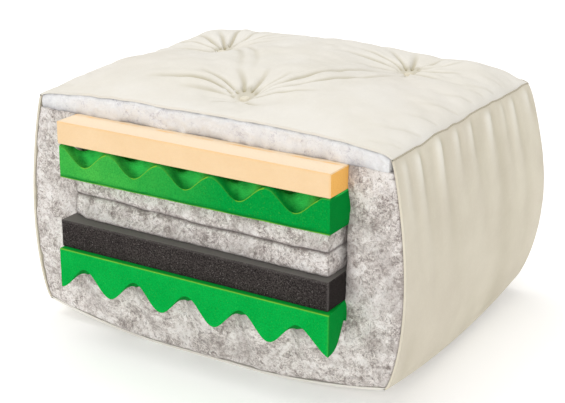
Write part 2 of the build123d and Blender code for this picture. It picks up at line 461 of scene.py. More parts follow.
def batting(name, stops, shade, cool, speckle):
    """Felted cotton fibre: mottled in lumps, tufts and single fibres."""
    made = Finish(name, sheen=0.25, specular=0.1)
    white = stops[-1][1]
    tufts = made.noise(0.0064, 4, 0.72, 1.1)
    total = made.maths("MULTIPLY_ADD", made.noise(0.020, 4, 0.65, 0.3), 0.30, made.times(tufts, 0.40))
    total = made.maths("MULTIPLY_ADD", made.noise(0.0027, 3, 0.75, 2.0), 0.30, total)
    glints = made.noise(0.0048, 3, 0.7, 1.6, made.stretched(1.0, 1.0, 1.3))
    colour = made.laid(
        made.ramp(total, stops),
        (made.noise(0.0056, 3, 0.75, 1.2), 0.56, 0.65, speckle, shade),
        (glints, 0.58, 0.68, 0.7, white),
        (made.noise(0.030, 3, 0.6, 0.4), 0.49, 0.66, 0.4, cool),
        (made.noise(0.019, 3, 0.65, 0.8), 0.54, 0.66, 0.36, white),
    )
    # painted shade, in the speck colour, where the shade mark is set
    made.colour(made.mix(made.times(made.attribute("crease"), 0.85), colour, shade))
    made.height(total, 0.004)
    made.rough(tufts, 0.85, 1.0)
    return made.material


def foam(name, colours, pore=0.0016, bump=0.0005, speckle=0.35, fleck=0.25, drift=None, deep=None):
    """Cut foam: fine open cells, cloudy colour, a painted highlight along its cut edges (a deeper orange
    line on the memory foam), painted light and shade in colours of their own on the faces that look to the
    right and up, painted shade where its shade mark is set and, given deep, painted light in its deepest
    hollows."""
    base, light, dark, line, end, top = (tone(*colour) for colour in colours)
    made = Finish(name, specular=0.04)
    cells = made.node("ShaderNodeTexVoronoi", {"Vector": made.place, "Scale": 1 / pore}).outputs["Distance"]
    grain = made.noise(pore * 0.9, 4, 0.75)
    share = made.grey(made.noise(0.035, 4, 0.6), 0.38, 0.66)
    if drift:
        from_left = made.node("ShaderNodeSeparateXYZ", {0: made.place}).outputs["X"]
        share = made.times(made.grey(from_left, *drift), made.maths("MULTIPLY_ADD", share, 0.35, 0.65))
    normal = made.node("ShaderNodeNewGeometry").outputs["True Normal"]
    facing = made.node("ShaderNodeSeparateXYZ", {0: normal}).outputs
    colour = made.laid(
        made.mix(share, base, light),
        (grain, 0.48, 0.62, speckle, dark),
        (cells, 0.35, 0.75, 0.6 * speckle, dark),
        (made.noise(pore * 1.3, 3, 0.7, 0.6), 0.58, 0.68, fleck * speckle, line),
        # painted light and shade: faces that look to the right take the end colour, faces that look up the
        # top colour
        (facing["X"], 0.75, 0.95, 0.85, end),
        (facing["Z"], 0.93, 0.99, 0.85, top),
    )
    # painted light in the hollows where the deep mark is set
    if deep:
        colour = made.mix(made.attribute("deep"), colour, deep)
    # painted shade where the shade mark is set
    colour = made.mix(made.times(made.attribute("crease"), 0.9), colour, dark)
    # painted highlight along the cut edges where the edge mark is set (a deeper orange line on the memory
    # foam)
    made.colour(made.mix(made.attribute("edge"), colour, line))
    made.height(made.maths("SUBTRACT", grain, cells), bump)
    made.rough(grain, 0.75, 0.98)
    return made.material


def thread(name, base, dark):
    """Twisted cotton: strands wound round the piece."""
    made = Finish(name, sheen=0.2, specular=0.2)
    wave = {"Vector": made.place, "Scale": 260.0, "Distortion": 1.5, "Detail": 2.0, "Detail Scale": 2.0}
    strands = made.node("ShaderNodeTexWave", wave, bands_direction="DIAGONAL").outputs["Fac"]
    fuzz = made.noise(0.0006, 3, 0.7)
    made.colour(made.mix(made.maths("MULTIPLY_ADD", fuzz, 0.4, made.times(strands, 0.6)), dark, base))
    made.height(strands, 0.0003)
    made.rough(fuzz, 0.75, 0.95)
    return made.material


ticking_top = ticking("ticking_top", "XY", tone(236, 233, 226), tone(231, 227, 217), tone(236, 230, 221))
# painted shade: the sides and the back are a darker, yellower copy of the top's cloth
shaded_ticking_side, shaded_ticking_back = (
    ticking(name, axes, tone(226, 219, 201), tone(216, 208, 190), tone(226, 217, 201))
    for name, axes in (("shaded_ticking_side", "YZ"), ("shaded_ticking_back", "XZ"))
)

grey_stops = [
    (0.415, tone(138, 127, 122)),
    (0.455, tone(182, 171, 166)),
    (0.485, tone(214, 205, 200)),
    (0.515, tone(236, 228, 223)),
    (0.555, tone(254, 249, 246)),
]
white_stops = [
    (0.38, tone(204, 201, 206)),
    (0.43, tone(240, 239, 244)),
    (0.48, tone(254, 254, 255)),
    (0.55, tone(254, 254, 255)),
    (0.62, tone(255, 255, 255)),
]
cotton = batting("cotton_batting", grey_stops, tone(122, 111, 107), tone(168, 157, 152), 0.6)
white_cotton = batting("white_batting", white_stops, tone(134, 130, 134), tone(240, 240, 245), 0.10)

# each foam's colours: base, light, dark (also its painted shade), line (painted highlight along cut edges;
# a deeper orange line on the memory foam), right end and top (painted light and shade for the faces that
# look to the right and up)
green_lower = foam(
    "green_foam_lower",
    ((0, 176, 70), (8, 186, 76), (0, 112, 40), (136, 206, 60), (0, 142, 54), (0, 160, 54)),
)
green_upper = foam(
    "green_foam_upper",
    ((0, 160, 64), (82, 198, 80), (0, 112, 40), (160, 214, 50), (0, 132, 50), (0, 200, 80)),
    drift=(0.05, -0.13),
    # painted light for the deep hollows under the memory foam
    deep=tone(70, 240, 110),
)
memory = foam(
    "memory_foam",
    ((240, 208, 166), (243, 213, 173), (240, 202, 146), (250, 190, 100), (255, 190, 88), (248, 230, 204)),
    pore=0.0022,
    bump=0.0003,
    speckle=0.14,
)
dark = foam(
    "dark_foam",
    ((68, 62, 61), (78, 72, 70), (26, 23, 23), (134, 128, 126), (44, 40, 39), (122, 118, 115)),
    pore=0.0015,
    speckle=1.0,
    fleck=0.6,
)
seam_thread = thread("seam_thread", tone(206, 196, 172), tone(160, 150, 128))
twine_cotton = thread("twine_cotton", tone(214, 204, 180), tone(160, 148, 122))
felt = ticking("button_felt", "XY", tone(240, 235, 222), tone(224, 217, 198), tone(238, 230, 214))

# ---- the cover's shape ----

CROWN = 36.1
CROWN_AT_CUT = 14.5
CROWN_RUN = 0.3
BORDER_SKEW = 1.27
BORDER_ROUND = 0.585
BOTTOM_LIFT = 1.5  # the unloaded belly would reach this far below the floor
SIDE_RISE = 8.5
SEAM_SAG = 13.0
SEAM_CORNER = 10.0  # plan radius of the back corners along the seams
TOP_FOLD_DEPTH, TOP_FOLD_WIDTH = 1.15, 0.54  # what the tables of creases are multiplied by
SEAM_FOLD_DEPTH, SEAM_FOLD_WIDTH = 0.3, 0.9


def across(x):
    return np.abs(x) / half_width


def along(y):
    return (y - cut_y) / depth


def seam_wave(x, y):
    """The top seam is not quite level: it is drawn up between its gathers."""
    droop = 3.4 * np.exp(-np.hypot(np.abs(x) - half_width, y - back_y) / 20)
    calm = 0.4 + 0.6 * smooth(y, cut_y, cut_y + 45)
    return calm * (1.5 * rough(x, y, 0, 34, 5) + 1.1 * rough(x, y, 0, 15, 8)) - droop


def round_corners(x, y):
    """Round off the two back corners of the plan."""
    a = unit((np.abs(x) - half_width + SEAM_CORNER) / SEAM_CORNER)
    b = unit((y - back_y + SEAM_CORNER) / SEAM_CORNER)
    in_x = SEAM_CORNER * a * (1 - np.sqrt(1 - b * b / 2))
    in_y = SEAM_CORNER * b * (1 - np.sqrt(1 - a * a / 2))
    return x - np.sign(x) * in_x, y - in_y


def crown_rise(x, y):
    """How far the top stands above its seam before the tufts draw it down."""
    rise = CROWN_AT_CUT + (CROWN - CROWN_AT_CUT) * np.sin(unit(along(y) / CROWN_RUN) * pi / 2)
    dome = np.sqrt(unit(1 - across(x) ** 2.8)) * (1 - unit(along(y)) ** 10.5)
    shoulder = 4.0 * bell(np.hypot(np.abs(x) - 176, y - 150), 40) * smooth(half_width - np.abs(x), 0, 24)
    return rise * dome + shoulder * smooth(back_y - y, 0, 20)


def tuft_pull(x, y):
    """How far the tufts draw the top down; the slope on the cut side is gentler."""
    pull = 0.0
    for tx, ty in TUFTS.values():
        r = np.hypot(x - tx, y - ty) + 1e-6
        r = r * (1 - 0.42 * smooth((ty - y) / r, -0.3, 1))
        pull = pull + 5.5 * np.exp(-((r / 11) ** 1.3)) + 15 * bell(r, 44)
    return pull * smooth(y, cut_y - 10, cut_y + 58)


# creases of the top, in millimetres: (depth, width, points from the tuft outwards)
TOP_FOLDS = (
    # the left tuft
    (3.6, 3.6, ((-134, 86), (-146, 118), (-160, 160))),
    (3.6, 3.4, ((-137, 82), (-158, 108), (-182, 134))),
    (3.4, 3.6, ((-140, 80), (-166, 96), (-206, 116))),
    (3.4, 3.8, ((-143, 76), (-172, 80), (-212, 82))),
    (2.6, 5.0, ((-144, 70), (-170, 54), (-200, 30))),
    (3.0, 3.4, ((-128, 84), (-124, 116), (-128, 158))),
    (2.8, 3.6, ((-126, 80), (-106, 108), (-86, 138))),
    (2.6, 4.2, ((-124, 76), (-92, 92), (-52, 104))),
    (2.0, 5.0, ((-126, 72), (-98, 74), (-60, 74))),
    (2.0, 4.6, ((-136, 62), (-132, 40), (-128, 14))),
    (1.7, 5.5, ((-126, 66), (-92, 38), (-52, -12), (-12, -82))),
    (1.6, 5.0, ((-118, 70), (-78, 42), (-36, -6), (0, -80))),
    # the front tuft
    (3.6, 3.8, ((-1, -97), (-28, -86), (-64, -82))),
    (4.0, 4.6, ((-2, -100), (-34, -98), (-74, -104), (-112, -118))),
    (2.6, 5.0, ((-1, -103), (-30, -110), (-64, -124))),
    (3.0, 4.4, ((2, -92), (-10, -74), (-30, -54))),
    (3.0, 4.0, ((10, -90), (8, -66), (0, -36))),
    (2.8, 4.2, ((15, -93), (26, -70), (34, -42))),
    (3.6, 5.0, ((17, -96), (40, -74), (64, -34), (86, 26), (100, 70))),
    (3.2, 4.6, ((18, -99), (50, -84), (84, -50), (112, 4), (118, 62))),
    (3.0, 3.6, ((19, -102), (52, -98), (96, -88))),
    (2.2, 4.2, ((8, -110), (2, -122), (-10, -140))),
    (2.4, 4.0, ((14, -108), (28, -120), (48, -132))),
    # the right tuft
    (3.4, 3.6, ((109, 101), (102, 122), (92, 150))),
    (3.2, 3.4, ((104, 98), (86, 116), (62, 134))),
    (3.4, 3.6, ((101, 94), (74, 102), (36, 104))),
    (3.0, 4.2, ((100, 90), (70, 86), (28, 74))),
    (2.2, 4.6, ((103, 84), (84, 70), (58, 48))),
    (3.0, 3.4, ((116, 100), (124, 122), (128, 152))),
    (3.0, 3.6, ((119, 96), (138, 112), (160, 136))),
    (3.2, 3.8, ((120, 90), (146, 88), (178, 92))),
    (2.6, 4.2, ((118, 84), (140, 70), (168, 54))),
    (2.8, 3.8, ((112, 81), (120, 62), (128, 36))),
    (2.0, 4.2, ((106, 81), (102, 60), (96, 34))),
)

# short slanting puckers beside the right seam: (depth, width, points from the seam inwards)
SEAM_FOLDS = (
    (1.7, 3.0, ((217, -143), (208, -147), (196, -153), (180, -158))),
    (2.6, 3.4, ((218, -98), (208, -106), (194, -118), (172, -130))),
    (2.2, 3.2, ((217, -60), (208, -68), (197, -78), (182, -86))),
    (2.6, 3.4, ((217, -8), (206, -20), (194, -34), (174, -48))),
    (2.4, 3.2, ((216, 34), (206, 26), (192, 12), (176, 0))),
    (1.8, 3.0, ((214, 64), (205, 56), (192, 44))),
    (2.4, 3.2, ((217, 90), (207, 76), (196, 62), (178, 50))),
    (1.8, 3.2, ((215, 118), (204, 112), (190, 104))),
)


def top_folds(x, y):
    """Depth of all the creases of the top."""
    total = np.zeros_like(x)
    for deep, wide, points in TOP_FOLDS:
        total += fold(x, y, points, TOP_FOLD_DEPTH * deep, TOP_FOLD_WIDTH * wide, 1.6, 0.07)
    for deep, wide, points in SEAM_FOLDS:
        mirrored = [(-px, py + 9 * pick(3, round(px), round(py), 1)) for px, py in points]
        for line in (points, mirrored):
            total += fold(x, y, line, SEAM_FOLD_DEPTH * deep, SEAM_FOLD_WIDTH * wide, 0.8, 0.05)
    for n in range(9):  # short creases along the back seam
        px = -184 + 46 * n + 8 * pick(12, n, 0, 0)
        lean = 14 * pick(12, n, 4, 0)
        run = 26 + 12 * pick(12, n, 7, 0)
        line = ((px, back_y - 4), (px + lean / 2, back_y - run / 2), (px + lean, back_y - run))
        total += fold(x, y, line, 0.8 + 0.4 * pick(12, n, 9, 0), 3.6, 0.9, 0.05)
    return total


def drawn_height(x, y):
    """The top cloth as it is drawn down by its seams and tufts, before it settles."""
    edge = np.minimum((half_width - np.abs(x)), (back_y - y))
    settle = smooth(edge, 0, 10)
    drape = 0.7 * rough(x, y, 0, 46, 21) + 0.35 * rough(x, y, 0, 19, 23)
    base = SEAM_TOP + seam_wave(x, y) + crown_rise(x, y) - tuft_pull(x, y)
    return base + settle * drape - smooth(edge, 0, 5) * top_folds(x, y)


def settled_top():
    """Rise of the top cloth over a lattice, held along its seams, its cut edge and its tufts."""
    xs, ys = np.linspace(-half_width, half_width, 61), np.linspace(cut_y, back_y, 49)
    x, y = np.meshgrid(xs, ys, indexing="ij")
    tied = sum(np.hypot(x - tx, y - ty) < 11 for tx, ty in TUFTS.values()) > 0
    return settled(np.stack([x, y, drawn_height(x, y)], -1), TOP_SETTLE, tied)[..., 2]


top_rise = settled_top()


def top_height(x, y):
    """Outside of the top cloth."""
    rise = sampled(top_rise, (x + half_width) / (2 * half_width), along(y))
    return drawn_height(x, y) + rise


def bottom_height(x, y):
    """Outside of the bottom cloth, flat where it lies on the floor."""
    side = (SIDE_RISE + SEAM_SAG * (2 * along(y) - 1) ** 2) * across(x) ** 2.4
    back = SIDE_RISE * unit(along(y)) ** 6 * unit(1 - across(x) ** 2.4)
    drawn = sum(6.5 * bell(np.hypot(x - tx, y - ty), 20) for tx, ty in TUFTS.values())
    return np.maximum(side + back - BOTTOM_LIFT + drawn, 0)


def bulge(h):
    """How far the border stands out, h being 0 at the top seam and 1 at the bottom one."""
    return side_bulge * np.sin(pi * unit(h) ** BORDER_SKEW) ** BORDER_ROUND


def border_level(h, x, y):
    top = SEAM_TOP + seam_wave(x, y)
    return top + (bottom_height(x, y) - top) * h


# gathers of the right border: (millimetres behind the cut, height, half width)
RIGHT_GATHERS = (
    (16, 2.2, 9),
    (47, 4.4, 9),
    (95, 5.2, 11),
    (136, 5.0, 11),
    (174, 4.0, 9),
    (222, 5.0, 13),
    (262, 2.2, 8),
    (290, 4.2, 10),
    (332, 3.4, 10),
)


def gathers(s, h, crests, seed):
    """How far the drawn-up cloth stands out at one place along and down a border."""
    total = np.zeros_like(s)
    for n, (where, tall, wide) in enumerate(crests):
        reach = 0.27 + 0.12 * pick(31, n, seed, 0)
        lean = (14 + 10 * pick(31, n, seed, 1)) * h**1.3
        fade = smooth(h, 0.0, 0.05) * (0.08 * (1 - h) + 0.92 * np.exp(-((h / reach) ** 1.4)))
        spread = wide * (0.62 + 1.1 * h)
        valley = bell(s - where - lean - 1.75 * spread, 0.8 * spread)
        total += 0.56 * tall * fade * (bell(s - where - lean, spread) - 0.7 * valley)
    small = smooth(h, 0.0, 0.04) * np.exp(-((h / 0.16) ** 1.4))
    total += 0.8 * small * rough(s - 30 * h, 0, seed, 13, 45)
    low = smooth(1 - h, 0.0, 0.06) * np.exp(-(((1 - h) / 0.22) ** 1.5))
    total += 1.6 * low * rough(s, 0, seed, 27, 41)
    total += 0.7 * smooth(np.minimum(h, 1 - h), 0.03, 0.2) * rough(s, h * 90, seed, 44, 43)
    total += 0.16 * smooth(np.minimum(h, 1 - h), 0.0, 0.1) * rough(s, h * 220, seed, 18, 44)
    return total * smooth(s, -1, 14)


def corner_radius(h):
    return SEAM_CORNER + 6 * np.sin(pi * unit(h))


def corner_bulge(h, from_corner):
    """The border stands out a little further towards its back corners."""
    return bulge(h) + 3.6 * np.sin(pi * unit(h)) * np.exp(-from_corner / 70)


def side_point(q, h, out):
    """A point of the right border: q runs from the cut to the middle of the back corner."""
    r, b = corner_radius(h), corner_bulge(h, (1 - q) * depth)
    straight = depth + b - r
    s = q * (straight + r * pi / 4)
    turned = np.clip(s - straight, 0, None) / r
    x = half_width + b - r + (r + out) * np.cos(turned)
    y = cut_y + np.minimum(s, straight) + (r + out) * np.sin(turned)
    return x, y, s


def back_point(q, h, out):
    """A point of the back border: q runs from the middle of the right corner to the left one."""
    r, b = corner_radius(h), corner_bulge(h, np.minimum(q, 1 - q) * 2 * half_width)
    straight = 2 * (half_width + b - r)
    s = q * (straight + r * pi / 2)
    first = np.clip(pi / 4 + s / r, None, pi / 2)
    last = np.clip((s - r * pi / 4 - straight) / r, 0, None)
    turned = first + last
    middle = np.clip(s - r * pi / 4, 0, straight)
    x = half_width + b - r - middle + (r + out) * np.cos(turned)
    y = back_y + b - r + (r + out) * np.sin(turned)
    return x, y, s


def settled_border(kind, crests, seed, length):
    """How far a border stands out over a lattice once it has settled, held along all four edges."""
    q, h = np.meshgrid(np.linspace(0, 1, round(length / 8)), np.linspace(0, 1, 31), indexing="ij")
    stand = gathers(q * length, h, crests, seed)
    x, y, _ = kind(q, h, stand)
    beyond_x, beyond_y, _ = kind(q, h, stand + 1)
    seam_x, seam_y, _ = kind(q, 0 * h, 0 * h)
    moved = settled(np.stack([x, y, border_level(h, seam_x, seam_y)], -1), BORDER_SETTLE)
    return moved[..., 0] * (beyond_x - x) + moved[..., 1] * (beyond_y - y)


def border(name, kind, side, crests, seed, step, material):
    """One border of the cover; side is -1 for the one that is mirrored to the left."""
    length = depth if kind is side_point else 2 * half_width
    stands_out = settled_border(kind, crests, seed, length)

    def place(q, h, w):
        stand = gathers(q * length, h, crests, seed) + sampled(stands_out, q, h)
        x, y, _ = kind(q, h, stand - CLOTH * (1 - w))
        seam_x, seam_y, _ = kind(q, 0 * h, 0 * h)
        return np.stack([side * x, y, border_level(h, side * seam_x, seam_y)], -1)

    ease = np.linspace(0, 1, round(255 / step))
    heights = ease - 0.62 * np.sin(2 * pi * ease) / (2 * pi)  # closer together near both seams
    qs = np.linspace(0, 1, round(length / step))
    piece = shell(name, qs, heights, FACES, place, 50)
    q, h = (np.repeat(grid.ravel(), 2) for grid in np.meshgrid(qs, heights, indexing="ij"))
    stand = gathers(q * length, h, crests, seed)
    # painted shade in the valleys of the gathers and a painted highlight on their crests, strongest near
    # the top seam
    mark(piece, crease=unit(-stand / 2.6) * 0.6, crest=unit((stand - 0.2) / 2.2) * bell(h, 0.3) * 0.7)
    return finished(piece, material, [f"{name}_panel"])


def edge_steps(count, power=1.35):
    """Steps from -1 to 1 that close up towards the ends."""
    s = np.linspace(-1, 1, count)
    return np.sign(s) * (1 - (1 - np.abs(s)) ** power)


def dense_steps(low, high, centres):
    """Steps from low to high that are closer together near some places."""
    coarse, fine, reach = 2.3, 1.25, 34
    samples = np.linspace(low, high, 4000)
    close = sum(bell(samples - centre, reach) for centre in centres)
    density = 1 / coarse + (1 / fine - 1 / coarse) * unit(close)
    total = np.concatenate([[0], np.cumsum((density[1:] + density[:-1]) / 2 * np.diff(samples))])
    return np.interp(np.linspace(0, total[-1], round(total[-1])), total, samples)


tuft_xs, tuft_ys = zip(*TUFTS.values())
top_x = dense_steps(-half_width, half_width, tuft_xs)
top_x = top_x[(np.abs(top_x) < half_width - 3)]
rim_steps = half_width - np.array([0, 0.12, 0.35, 0.75, 1.4, 2.3])  # a soft edge
top_x = np.concatenate([-rim_steps, top_x, rim_steps[::-1]])
top_y = dense_steps(cut_y, back_y, tuft_ys)


def top_place(x, y, w):
    z = top_height(x, y)
    x, y = round_corners(x, y)
    return np.stack([x, y, z - CLOTH * (1 - w)], -1)


top_panel = shell("top_panel", top_x, top_y, FACES, top_place, 50)
finished(top_panel, ticking_top, ["top_cover_panel"])
x, y, _ = points_of(top_panel)
# painted shade in the folds and in a ring round each tuft
tuft_shade = sum(0.8 * bell(np.hypot(x - tx, y - ty - 5) - 6, 6) for tx, ty in TUFTS.values())
mark(top_panel, most=1.5, crease=unit(top_folds(x, y) / 2.4) * 0.9 + np.clip(tuft_shade, 0, 0.6))


def bottom_place(x, y, w):
    z = bottom_height(x, y) + CLOTH * (1 - w)
    x, y = round_corners(x, y)
    return np.stack([x, y, z], -1)


bottom_x, bottom_y = half_width * edge_steps(110), steps_between(cut_y, back_y, 4)
bottom_panel = shell("bottom_panel", bottom_x, bottom_y, FACES, bottom_place)
finished(bottom_panel, ticking_top, ["bottom_cover_panel"])

LEFT_GATHERS = tuple((length - 9, tall * 0.9, wide) for length, tall, wide in RIGHT_GATHERS[1:])
BACK_GATHERS = tuple((28 + 48 * n + 9 * (n % 3), 2.4 + 0.4 * (n % 2), 9) for n in range(9))
right_border = border("right_border", side_point, 1, RIGHT_GATHERS, 1, 2.2, shaded_ticking_side)
left_border = border("left_border", side_point, -1, LEFT_GATHERS, 2, 2.8, shaded_ticking_side)
back_border = border("back_border", back_point, 1, BACK_GATHERS, 3, 2.8, shaded_ticking_back)

# ---- seams ----

STITCH = 4.5
SEAM_END = [0, 1, 2, 3], [0, 3, 4, 7], [4, 5, 6, 7]  # the faces that close its eight-sided end


def seam(name, level, radius, out):
    """A stitched ridge along a seam, round the two sides and the back."""
    corner = SEAM_CORNER
    arc = np.linspace(0, pi / 2, 6)
    straight = [(half_width, y) for y in np.arange(cut_y + 1.5, back_y - corner, 1.5)]
    bend = [(half_width - corner + corner * cos(t), back_y - corner + corner * sin(t)) for t in arc]
    back = [(x, back_y) for x in np.arange(half_width - corner - 1.5, 0, -1.5)]
    half = np.array([(half_width, cut_y), *straight, *bend, *back])
    whole = np.concatenate([half, half[::-1] * (-1, 1)])
    ahead = np.gradient(whole, axis=0)
    ahead /= np.hypot(*ahead.T)[:, None]
    outward = np.stack([ahead[:, 1], -ahead[:, 0]], -1)
    run = np.concatenate([[0], np.cumsum(np.hypot(*np.diff(whole, axis=0).T))])
    thick = radius * (1 + 0.32 * np.abs(np.sin(pi * run / STITCH)))[:, None]
    around = np.linspace(0, 2 * pi, 8, endpoint=False)
    flat = whole[:, None] + outward[:, None] * (out + thick * np.cos(around))[..., None]
    tall = level(whole[:, 0], whole[:, 1])[:, None] + thick * np.sin(around)
    points = np.concatenate([flat, tall[..., None]], -1)
    index = np.arange(tall.size).reshape(tall.shape)
    ends = [index[row][corners][::order] for row, order in ((0, 1), (-1, -1)) for corners in SEAM_END]
    faces = np.concatenate([hoops(index), ends])[:, ::-1]
    return finished(mesh_piece(name, points.reshape(-1, 3), faces, 60), seam_thread)


top_seam = seam("top_seam", lambda x, y: SEAM_TOP + seam_wave(x, y) - 0.3, 0.8, 0.0)
bottom_seam = seam("bottom_seam", lambda x, y: bottom_height(x, y) + 0.5, 0.7, -0.2)

# ---- foams ----

UPPER_PITCH = 66.0
UPPER_WAVE = 24.0
UPPER_BASE = 13.6  # thickness of the foam under its valleys
UPPER_SETBACK = 6.7  # from the front face to the first row of crests
LOWER_PITCH = 68.0
LOWER_BASE = 19.0
LOWER_TOOTH = 27.0
SLAB_STEP = 3.0
SLAB_LUMPS = 0.15


def crate(x, y, pitch, first_row):
    """An egg-crate wave from 0 to 1, highest at the left wall on its first row."""
    return 0.5 + 0.5 * np.cos(2 * pi * (x - foam_left) / pitch) * np.cos(2 * pi * (y - first_row) / pitch)


def chamfer(points, low, high, cut):
    """Pull in the vertices along a box's edges, so that no cut edge is razor sharp."""
    on_low, on_high = np.abs(points - low) < 0.01, np.abs(points - high) < 0.01
    inward = on_low.astype(float) - on_high.astype(float)
    several = (on_low | on_high).sum(-1, keepdims=True) >= 2
    return points + inward * cut * several


def slab(name, node, bottom, top, material, line):
    """A cut slab of foam, with slightly softened edges and faces that are not dead flat; line is the
    strength of the broken line of painted shade where the batting meets its top."""
    low = np.array([foam_left - 2, foam_front, bottom])
    high = np.array([foam_right, foam_back, top])

    def place(x, y, z):
        points = chamfer(np.stack([x, y, z], -1), low, high, 0.5)
        inside = (x > low[0] + 1) & (x < high[0] - 1)
        lumps = SLAB_LUMPS * 0.5 * rough(x, y, 0, 12, 62)
        points[:, 1] += np.where(y < low[1] + 1, SLAB_LUMPS * rough(x, z, 0, 9, 61, 2), 0)
        points[:, 2] += np.where((z > high[2] - 0.5) & inside, lumps, -0.02)
        return points

    axes = [steps_between(low[n], high[n], SLAB_STEP, 0.9) for n in range(3)]
    axes[1] = np.unique(np.concatenate([axes[1], cut_y - np.array([9.0, 7.8, 7.0, 6.2, 5.4, 4.4])]))
    piece = shell(name, *axes, place, 35)
    x, y, z = points_of(piece)
    # painted line along the front's top and right edges: a highlight on the dark foam, a deeper orange line
    # on the memory foam
    edge = bell(y - low[1], 0.8) * np.maximum(bell(z - high[2], 0.8), bell(x - high[0], 0.8))
    broken = unit(0.7 + 0.6 * rough(x, 0, 0, 12, 63, 2))
    # painted shade: a broken line where the batting's edge meets the top
    under_batting_shade = bell(y - cut_y + 6.4, 1.5) * (z > high[2] - 0.7) * broken
    mark(piece, edge=0.55 * edge + line * under_batting_shade, crease=0 * x)
    finished(piece, material, [node])


slab("memory_foam", "memory_foam_slab", crests_top, memory_top, memory, 0.75)
slab("dark_foam", "dark_support_foam", core_bottom, dark_top, dark, 0.0)


def upper_wave(x, y):
    """The wave of the upper foam; at the right end its first peak runs back to the batting."""
    first_row = foam_front + UPPER_SETBACK
    at_end = smooth(x, foam_right - 15, foam_right - 2) * (1 - smooth(y, cut_y + 2, cut_y + 14))
    wave = crate(x, y + (first_row - y) * at_end, UPPER_PITCH, first_row)
    return wave + (1 - wave) * at_end


def upper_top(wave):
    return pads_top + UPPER_BASE + UPPER_WAVE * wave


def upper_place(x, y, w):
    base = pads_top + FIT / 2
    z = base + (np.minimum(upper_top(upper_wave(x, y)), crests_top - 0.15) - base) * w
    swell = smooth(x, foam_right - 1, foam_right) * 3.2 * np.sin(pi * w) ** 0.8
    swell = swell * smooth(y, foam_front, foam_front + 40)
    front = 0.2 * rough(x, z, 0, 8, 71, 2) * (y < foam_front + 0.1)
    return np.stack([x + swell, y + front, z], -1)


def convoluted(name, front, ws, place):
    """One of the two egg-crate foams, with its vertices' places."""
    xs, ys = steps_between(foam_left, foam_right, 2.4), steps_between(front, foam_back, 3.0, 1.0)
    piece = shell(name, xs, ys, np.concatenate(ws), place, 42)
    return piece, *points_of(piece)


upper_steps = [0, 0.045], np.linspace(0.1, 0.94, 10), [0.965, 1]
upper_foam, x, y, z = convoluted("upper_convoluted", foam_front, upper_steps, upper_place)
wave = upper_wave(x, y)
surface = upper_top(wave)
rising = crate(x + 4, y, UPPER_PITCH, foam_front + UPPER_SETBACK) > wave
at_front = bell(y - foam_front, 0.9)
# painted highlight along the front edges of the crests, strong on the slopes that rise to the right, and
# along the bottom of the front face
rim_highlight = at_front * bell(z - np.minimum(surface, crests_top), 0.5) * np.where(rising, 0.85, 0.15)
rim_highlight = np.maximum(rim_highlight, at_front * bell(z - pads_top, 0.6) * 0.6)
inside = smooth(y, foam_front + 0.5, foam_front + 9) * smooth(z - surface, -1.0, -0.2)
phase = ((x - foam_left) / UPPER_PITCH) % 1
streaks = 0.35 * rough(x + 0.8 * y, y * 0.2, z * 0.5, 4.5, 73, 2)
# painted light: deep marks the depths of the hollows, where the green is brightened
deep = inside * smooth(y, foam_front + 4, foam_front + 20)
# painted shade in streaks in the hollows, darkest on the left of each and less where the painted light is
hollow_shade = inside * np.clip(smooth(0.64 - phase, 0, 0.3) * (0.5 + streaks) + 0.9 * streaks, 0, 0.8)
hollow_shade = hollow_shade * (1 - 0.45 * deep)
# painted highlight on the right-hand slopes of the hollows
slope_highlight = inside * bell(phase - 0.72, 0.11) * bell(wave - 0.45, 0.3) * 0.35
# painted shade: a dark band along the bottom of the front face
lip_shade = at_front * smooth(pads_top + 4.4 - z, 0.0, 2.4) * smooth(z - pads_top, 0.2, 0.6)
mark(upper_foam, deep=deep, edge=np.maximum(rim_highlight, slope_highlight), crease=np.maximum(hollow_shade, lip_shade))
finished(upper_foam, green_upper, ["upper_convoluted_foam"])


def lower_underside(x, y):
    """The convoluted underside; at the right end its first tooth keeps its depth further back."""
    reach = cut_y - lower_front
    back = unit((y - lower_front) / reach)
    at_end = smooth(x, foam_right - 16, foam_right) * (y < cut_y)
    y_end = lower_front + LOWER_PITCH / 2 * back**2.2
    wave = crate(x, y + (y_end - y) * at_end, LOWER_PITCH, lower_front)
    return core_bottom - LOWER_BASE - LOWER_TOOTH * wave


def lower_place(x, y, w):
    under = lower_underside(x, y)
    z = under + (core_bottom - FIT / 4 - under) * w
    swell = smooth(x, foam_right - 30, foam_right) * 5.0 * (1 - smooth(y, lower_front - 6, cut_y + 4))
    belly = smooth(x, foam_right - 1, foam_right) * 1.5 * np.sin(pi * w)
    swell = swell + belly * smooth(y, lower_front, cut_y)
    front = 0.2 * rough(x, z, 0, 8, 81, 2) * (y < lower_front + 0.1)
    return np.stack([x + swell, y + front, z], -1)


lower_steps = [0, 0.03], np.linspace(0.07, 0.93, 14), [0.97, 1]
lower_foam, x, y, z = convoluted("lower_convoluted", lower_front, lower_steps, lower_place)
at_front = bell(y - lower_front, 0.9)
# painted highlight along the top of the front face and, faintly, at the right end
corner = smooth(x, foam_right + 3.2, foam_right + 3.8) * at_front * 0.12
mark(lower_foam, edge=np.maximum(at_front * bell(z - core_bottom, 0.7), corner))
# painted shade on the teeth near their underside, darkest in the notches
under = smooth(lower_underside(x, y) + 1.0 - z, 0, 0.8)
under = under * smooth(y, lower_front + 0.5, lower_front + 5)
mark(lower_foam, crease=unit(under * (1.2 - crate(x, y, LOWER_PITCH, lower_front))) * 0.9)
finished(lower_foam, green_lower, ["lower_convoluted_foam"])

# ---- pads ----

PAD_SETBACK_LEFT = 22.0
PAD_SETBACK_RIGHT = 10.0
PAD_LEFT_GAP = 3


def groove_level(x):
    """Where the two pads meet at the front."""
    return pads_middle + 1.6 * rough(x, 0, 0, 60, 91) + 0.8 * rough(x, 0, 0, 17, 92)


def cotton_piece(piece, node, crease):
    """Finish a piece of grey batting whose hollows and shadow lines are given."""
    mark(piece, crease=crease)
    return finished(piece, cotton, [node])


